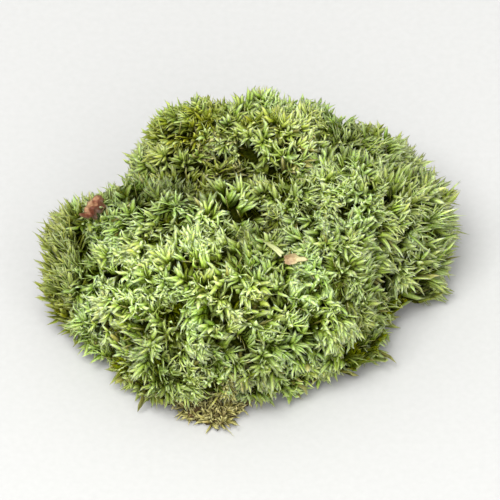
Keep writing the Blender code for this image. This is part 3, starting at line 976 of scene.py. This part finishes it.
def scrap_part(node, size, edge, relief, slant):
    """A thin scrap of a leaf where its solid lies. edge says how far its rim is by angle, in half sizes,
    relief how high the sheet stands at places in it, in metres, and slant which way its colour runs."""
    rings, segments = SCRAP_RINGS, SCRAP_SEGMENTS
    _, middle, ways, _ = box_of(node)
    angle = np.arange(segments) * math.tau / segments
    share = np.arange(1, rings + 1) / rings
    radial = (share[:, None] * edge(angle)[None, :])[:, :, None]
    flat = radial * np.stack([np.cos(angle), np.sin(angle)], axis=1)[None]
    flat = np.concatenate([[[0.0, 0.0]], flat.reshape(-1, 2)])
    over = flat * size
    sheet = middle + over @ ways[:2] + column(relief(over[:, 0], over[:, 1])) * ways[2]
    half = SCRAP_THICKNESS / 2 * ways[2]
    count = len(sheet)
    ring, after = ring_grid(rings, segments, 1)
    quads = np.stack([ring[:-1], ring[1:], after[1:], after[:-1]], axis=2).reshape(-1, 4)
    centre = np.stack([np.zeros(segments, dtype=int), ring[0], after[0]], axis=1)
    rim = np.stack([ring[-1], ring[-1] + count, after[-1] + count, after[-1]], axis=1)
    return {
        "corners": np.concatenate([sheet + half, sheet - half]),
        "quads": np.concatenate([quads, quads[:, ::-1] + count, rim]),
        "triangles": np.concatenate([centre, centre[:, ::-1] + count]),
        "along": np.tile(np.concatenate([[0.0], np.repeat(share, segments)]), 2),
        "warm": np.tile(flat @ [math.cos(slant), math.sin(slant)], 2),
        "depth": np.repeat([0.0, 1.0], count),
    }


def veins(over, up, spacing):
    """A midrib along the scrap and side veins that leave it at a slant."""
    side = np.abs(((over - VEIN_SLANT * np.abs(up)) / spacing) % 1 - 0.5) * 2
    midrib = MIDRIB_HEIGHT * np.exp(-(up / MIDRIB_WIDTH) ** 2)
    return VEIN_HEIGHT * (midrib + np.exp(-((1 - side) / VEIN_WIDTH) ** 2))


def buckled(over, up, layers):
    return bumps(np.stack([over, up, np.zeros_like(over)], axis=1), layers)


def red_relief(over, up):
    """Crumpled: sharp folds in two directions, the left edge rolled up."""
    height = RED_ROLL * np.clip(-over / RED_SCRAP[0] - RED_ROLL_START, 0, 1) ** 2 - RED_SUNK
    for along, across, spacing, shift, rise in RED_FOLDS:
        height += rise * np.abs(((over * along + up * across) / spacing + shift) % 1 - 0.5)
    return height + buckled(over, up, RED_BUCKLES) + veins(over, up, RED_VEINS)


def tan_relief(over, up):
    """Curled up along its far edge, with a low bow along it."""
    curl = TAN_CURL * np.clip(up / TAN_SCRAP[1], 0, 1) ** 2
    bow = TAN_BOW * np.cos(over / TAN_SCRAP[0] * TAN_BOW_TURN)
    return curl + bow + buckled(over, up, TAN_BUCKLES) + veins(over, up, TAN_VEINS)


def build_scraps():
    red_edge = partial(torn, corners=RED_CORNERS, raggedness=RED_RAGGED, seed=61)
    red = scrap_part("red_leaf_scrap", RED_SCRAP, red_edge, red_relief, RED_COLOUR_AND_LIGHT_SLANT)
    mesh_piece("red_scrap", [red], red_look(), "red_dry_leaf", "red_leaf_scrap")
    tan_edge = partial(torn, corners=TAN_CORNERS, raggedness=TAN_RAGGED, seed=62)
    tan = scrap_part("tan_leaf_scrap", TAN_SCRAP, tan_edge, tan_relief, TAN_SLANT)
    mesh_piece("tan_scrap", [tan], tan_look(), "tan_dry_leaf", "tan_leaf_scrap")


def build_twig(look):
    """A dry flattened stalk along its solid, thin at its far end and wide and split at the near one."""
    points, middle, ways, halves = box_of("pale_twig")
    along = (points - middle) @ ways[0]
    steps = np.linspace(-halves[0], halves[0], TWIG_STEPS)
    weights = np.exp(-((steps[:, None] - along[None, :]) / TWIG_EVENED) ** 2)
    path = weights @ points / weights.sum(axis=1, keepdims=True)
    share = np.linspace(0, 1, TWIG_STEPS)
    blunt = np.sin(np.minimum(share * TWIG_THIN_WIDENS + TWIG_THIN_SHARE, 1) * math.pi / 2)
    blunt *= 1 - TWIG_WIDE_NARROWS * share ** TWIG_WIDE_POWER
    splayed = TWIG_APART + TWIG_SPLAY * share ** TWIG_SPLAY_POWER
    ring, after = ring_grid(TWIG_STEPS, TWIG_SIDES)
    strands = []
    for split, turn, widening, start in TWIG_STRANDS:
        half = (TWIG_THIN_END + widening * share ** TWIG_WIDENING_POWER) * blunt / 2
        apart = column(split * splayed) * ways[1] + column(split * share) * ways[2]
        spine = path + apart + column(TWIG_WAVE * np.sin(share * TWIG_WAVES + start)) * ways[1]
        angle = np.arange(TWIG_SIDES) * math.tau / TWIG_SIDES + turn
        ribbed = 1 + TWIG_RIB_HEIGHT * np.cos(TWIG_RIBS * angle)
        around = column(np.cos(angle) * ribbed) * ways[1]
        around += column(TWIG_FLATNESS * np.sin(angle) * ribbed) * ways[2]
        rings = spine[:, None] + half[:, None, None] * around[None]
        first, last = np.full(TWIG_SIDES, ring.size), np.full(TWIG_SIDES, ring.size + 1)
        ends = ([first, after[0], ring[0]], [last, ring[-1], after[-1]])
        strands.append({
            "corners": np.concatenate([rings.reshape(-1, 3), [spine[0], spine[-1]]]),
            "quads": np.stack([ring[:-1], after[:-1], after[1:], ring[1:]], axis=2).reshape(-1, 4),
            "triangles": np.concatenate([np.stack(end, axis=1) for end in ends]),
            "along": np.concatenate([np.repeat(share, TWIG_SIDES), [0, 1]]),
            "warm": np.concatenate([np.tile(np.cos(TWIG_RIBS * angle), TWIG_STEPS), [0, 0]]),
        })
    mesh_piece("pale_stalk", strands, look, "pale_stalk", "pale_twig")


# Materials: helpers
def new_material(name):
    made = bpy.data.materials.new(name)
    made.use_nodes = True
    tree = made.node_tree
    return made, tree, tree.nodes["Principled BSDF"]


def srgb(red, green, blue):
    """A colour from the screen's values of 0 to 255."""
    return tuple(((value / 255 + 0.055) / 1.055) ** 2.4 if value > 10 else value / 255 / 12.92
                 for value in (red, green, blue)) + (1,)


def feed(tree, socket, value):
    """Sets a socket, or links it to another one or to a value that the corners carry, by its name."""
    if isinstance(value, str):
        node = tree.nodes.new("ShaderNodeAttribute")
        node.attribute_name = value
        value = node.outputs["Fac"]
    if isinstance(value, bpy.types.NodeSocket):
        tree.links.new(value, socket)
    else:
        socket.default_value = value


def new_node(tree, kind, inputs, output):
    """One output of a new node, with its inputs set or linked."""
    node = tree.nodes.new(kind)
    for key, value in inputs.items():
        feed(tree, node.inputs[key], value)
    return node.outputs[output]


def ramp(tree, value, stops):
    """A colour ramp through (place, colour) stops."""
    node = tree.nodes.new("ShaderNodeValToRGB")
    elements = node.color_ramp.elements
    for element, (place, colour) in zip(elements, (stops[0], stops[-1])):
        element.position, element.color = place, colour
    for place, colour in stops[1:-1]:
        elements.new(place).color = colour
    feed(tree, node.inputs["Fac"], value)
    return node.outputs["Color"]


def screen_ramp(tree, value, *stops):
    """A colour ramp through stops of a place and the screen's red, green and blue."""
    return ramp(tree, value, [(place, srgb(*colour)) for place, *colour in stops])


def mixed(tree, share, first, second, kind="MIX"):
    node = tree.nodes.new("ShaderNodeMix")
    node.data_type = "RGBA"
    node.blend_type = kind
    for index, value in ((0, share), (6, first), (7, second)):
        feed(tree, node.inputs[index], value)
    return node.outputs[2]


def mapped(tree, value, low, high, new_low, new_high):
    numbers = (value, low, high, new_low, new_high)
    return new_node(tree, "ShaderNodeMapRange", dict(enumerate(numbers)), "Result")


def tinted(tree, colour, reach, first, middle, last):
    """The colour times another, which runs with the warm value from -reach to reach."""
    warm = mapped(tree, "warm", -reach, reach, 0, 1)
    hue = ramp(tree, warm, [(0.0, (*first, 1)), (0.5, (*middle, 1)), (1.0, (*last, 1))])
    return mixed(tree, 1.0, colour, hue, "MULTIPLY")


def noise(tree, size, detail=2.0):
    """Noise whose grains are about as wide as size."""
    place = new_node(tree, "ShaderNodeTexCoord", {}, "Object")
    inputs = {"Vector": place, "Scale": 1 / size, "Detail": detail}
    return new_node(tree, "ShaderNodeTexNoise", inputs, "Fac")


def brightened(tree, colour, value, low, high, dark, light):
    """The colour, times dark where a value is low to times light where it is high."""
    inputs = {"Value": mapped(tree, value, low, high, dark, light), "Color": colour}
    return new_node(tree, "ShaderNodeHueSaturation", inputs, "Color")


def finish_look(tree, shader, colour, specular, grain, rough, strength, height, mottle=None):
    """Colour and specular level, and by one grain bump, roughness from low to high, and brightness too."""
    if mottle:
        colour = brightened(tree, colour, grain, *GRAIN_RANGE, *mottle)
    inputs = {"Strength": strength, "Distance": height, "Height": grain}
    feed(tree, shader.inputs["Normal"], new_node(tree, "ShaderNodeBump", inputs, "Normal"))
    feed(tree, shader.inputs["Roughness"], mapped(tree, grain, *GRAIN_RANGE, *rough))
    feed(tree, shader.inputs["Base Color"], colour)
    feed(tree, shader.inputs["Specular IOR Level"], specular)


# Materials
def moss_look():
    """Leaves: saturated and darker at the foot, partly as painted shade, and pale at the tip; cooler,
    warmer, olive or dead by their values; and painted shade, darker the deeper they lie among the shoots.
    """
    made, tree, shader = new_material("moss_leaf")
    # The darker foot of each leaf is partly its own colour and partly painted shade
    stops = ((0, 74, 92, 0), (0.3, 146, 168, 70), (0.7, 183, 202, 130), (1, 204, 219, 164))
    fresh = screen_ramp(tree, "along", *stops)
    stops = ((0, 57, 60, 0), (0.4, 112, 117, 12), (0.75, 155, 162, 46), (1, 198, 204, 106))
    olive = screen_ramp(tree, "along", *stops)
    dead = screen_ramp(tree, "along", (0, 66, 62, 20), (0.5, 140, 137, 70), (1, 196, 194, 132))
    colour = mixed(tree, "olive", fresh, olive)
    colour = tinted(tree, colour, 1.8, (0.86, 1.0, 0.86), (0.99, 1.0, 0.96), (1.03, 0.95, 0.66))
    colour = mixed(tree, "dead", colour, dead)
    # Painted shade: leaves darken and yellow the deeper they lie among the shoots
    deep = mapped(tree, "depth", 0.2, 2.6, 0, 1)
    colour = mixed(tree, deep, colour, srgb(124, 122, 0), "MULTIPLY")
    # Brightness by tint: the leaves' own tone and mottle, with the painted light and shade the shoots
    # carry
    colour = brightened(tree, colour, "tint", -2.4, 1.6, 0.32, 1.22)
    grain = noise(tree, 0.35 * MM, 3)
    finish_look(tree, shader, colour, 0.04, grain, (0.5, 0.75), 0.25, 0.04 * MM, (0.9, 1.1))
    shader.inputs["Subsurface Weight"].default_value = 0.5
    shader.inputs["Subsurface Radius"].default_value = (0.9, 1.0, 0.3)
    shader.inputs["Subsurface Scale"].default_value = 0.5 * MM
    return made


def painted_shade_bed_look():
    """Old brown and olive leaves deep inside, near black partly as painted shade between the shoots."""
    made, tree, shader = new_material("moss_inside_painted_shade")
    grain = noise(tree, 0.5 * MM, 4)
    colour = screen_ramp(tree, grain, (0.3, 16, 20, 0), (0.55, 36, 42, 2), (0.75, 62, 58, 14))
    finish_look(tree, shader, colour, 0.02, grain, (0.8, 1.0), 0.6, 0.3 * MM)
    return made


def felt_look():
    """Matted brown stems and humus."""
    made, tree, shader = new_material("brown_felt")
    broad = noise(tree, 3 * MM, 2)
    grain = noise(tree, 0.4 * MM, 5)
    stops = ((0.3, 32, 24, 12), (0.5, 74, 59, 34), (0.65, 112, 94, 56), (0.8, 152, 134, 86))
    colour = screen_ramp(tree, grain, *stops)
    colour = mixed(tree, mapped(tree, broad, 0.4, 0.65, 0, 0.5), colour, srgb(66, 52, 44))
    finish_look(tree, shader, colour, 0.15, grain, (0.75, 1.0), 0.8, 0.3 * MM)
    return made


def strand_look():
    """Rootlets and dead shoots: dark brown at the foot, tan at the tip."""
    made, tree, shader = new_material("dead_strands")
    colour = screen_ramp(tree, "along", (0, 82, 72, 30), (0.4, 150, 144, 84), (1, 204, 200, 146))
    colour = tinted(tree, colour, 1.6, (0.66, 0.57, 0.50), (0.94, 0.93, 0.85), (1.0, 0.98, 0.74))
    colour = brightened(tree, colour, "tint", -1.5, 1.5, 0.5, 1.35)
    grain = noise(tree, 0.25 * MM, 3)
    finish_look(tree, shader, colour, 0.2, grain, (0.65, 0.9), 0.4, 0.04 * MM, (0.8, 1.15))
    return made


def scrap_look(name, across, edge, under, rough):
    """A dry leaf: its colour runs across it in a mottle, and is browner at its torn edge and below."""
    made, tree, shader = new_material(name)
    grain = noise(tree, 0.3 * MM, 4)
    blotch = noise(tree, 0.8 * MM, 2)
    terms = {0: mapped(tree, "warm", -1, 1, 0, 1), 1: mapped(tree, blotch, *GRAIN_RANGE, -0.22, 0.22)}
    colour = screen_ramp(tree, new_node(tree, "ShaderNodeMath", terms, "Value"), *across)
    colour = mixed(tree, mapped(tree, "along", 0.82, 1.0, 0, 0.8), colour, srgb(*edge))
    colour = mixed(tree, "depth", colour, srgb(*under))
    finish_look(tree, shader, colour, 0.35, grain, rough, 0.5, 0.06 * MM, (0.78, 1.18))
    return made


def red_look():
    # Pale end partly a painted highlight, dark end partly painted shade, the red-brown middle the leaf's
    # own
    across = ((0, 158, 134, 96), (0.25, 138, 100, 70), (0.5, 100, 52, 34), (0.75, 74, 42, 20),
              (1, 46, 28, 4))
    return scrap_look("dry_red_leaf_painted_light", across, (66, 50, 20), (112, 78, 48), (0.48, 0.72))


def tan_look():
    across = ((0, 128, 100, 70), (0.3, 156, 134, 96), (0.6, 180, 167, 122), (1, 186, 180, 134))
    return scrap_look("dry_tan_leaf", across, (134, 114, 74), (172, 152, 108), (0.43, 0.67))


def stalk_look():
    """Bleached stalk with fine darker ribs."""
    made, tree, shader = new_material("bleached_stalk")
    grain = noise(tree, 0.2 * MM, 4)
    colour = screen_ramp(tree, "along", (0, 112, 118, 60), (0.5, 152, 158, 102), (1, 188, 192, 142))
    colour = brightened(tree, colour, "warm", -1, 1, 0.8, 1.05)
    finish_look(tree, shader, colour, 0.3, grain, (0.5, 0.75), 0.4, 0.04 * MM, (0.82, 1.1))
    return made


def floor_look():
    """Plain pale board with a very faint mottle."""
    made, tree, shader = new_material("pale_floor")
    grain = noise(tree, 1.2 * MM, 4)
    colour = ramp(tree, grain, ((0.3, (0.43, 0.43, 0.42, 1)), (0.7, (0.45, 0.45, 0.44, 1))))
    finish_look(tree, shader, colour, 0.5, grain, (0.75, 0.85), 0.1, 0.02 * MM)
    return made


# Floor, lights and camera
def add_floor(look):
    mesh = bpy.data.meshes.new("floor")
    corners = np.array([(-1, -1, 0), (1, -1, 0), (1, 1, 0), (-1, 1, 0)]) * FLOOR_REACH
    mesh.from_pydata(corners, [], [(0, 1, 2, 3)])
    mesh.materials.append(look)
    floor = placed("floor", mesh)


def add_lights():
    for name, place, size, power in LIGHTS:
        data = bpy.data.lights.new(name, "AREA")
        data.size = size
        data.energy = power
        lamp = placed(name, data)
        lamp.location = place
        lamp.rotation_euler = (CAMERA_TARGET - Vector(place)).to_track_quat("-Z", "Y").to_euler()
    world = bpy.data.worlds.new("studio")
    world.use_nodes = True
    sky = world.node_tree.nodes["Background"].inputs
    sky["Color"].default_value = (1, 1, 1, 1)
    sky["Strength"].default_value = SKY_STRENGTH
    bpy.context.scene.world = world
    bpy.context.scene.view_settings.view_transform = "Standard"


def add_camera():
    data = bpy.data.cameras.new("camera")
    data.sensor_width = SENSOR_WIDTH
    data.lens = SENSOR_WIDTH * CAMERA_DISTANCE / FRAME_WIDTH
    camera = placed("camera", data)
    back = Vector((0, -math.cos(CAMERA_ELEVATION), math.sin(CAMERA_ELEVATION)))
    camera.location = CAMERA_TARGET + back * CAMERA_DISTANCE
    camera.rotation_euler = (math.pi / 2 - CAMERA_ELEVATION, 0, 0)
    bpy.context.scene.camera = camera


build_moss(moss_look())
build_bed(painted_shade_bed_look())
build_felt(felt_look())
strands = strand_look()
build_rootlets(strands)
build_dead_shoots(strands)
build_scraps()
build_twig(stalk_look())
add_floor(floor_look())
add_lights()
add_camera()
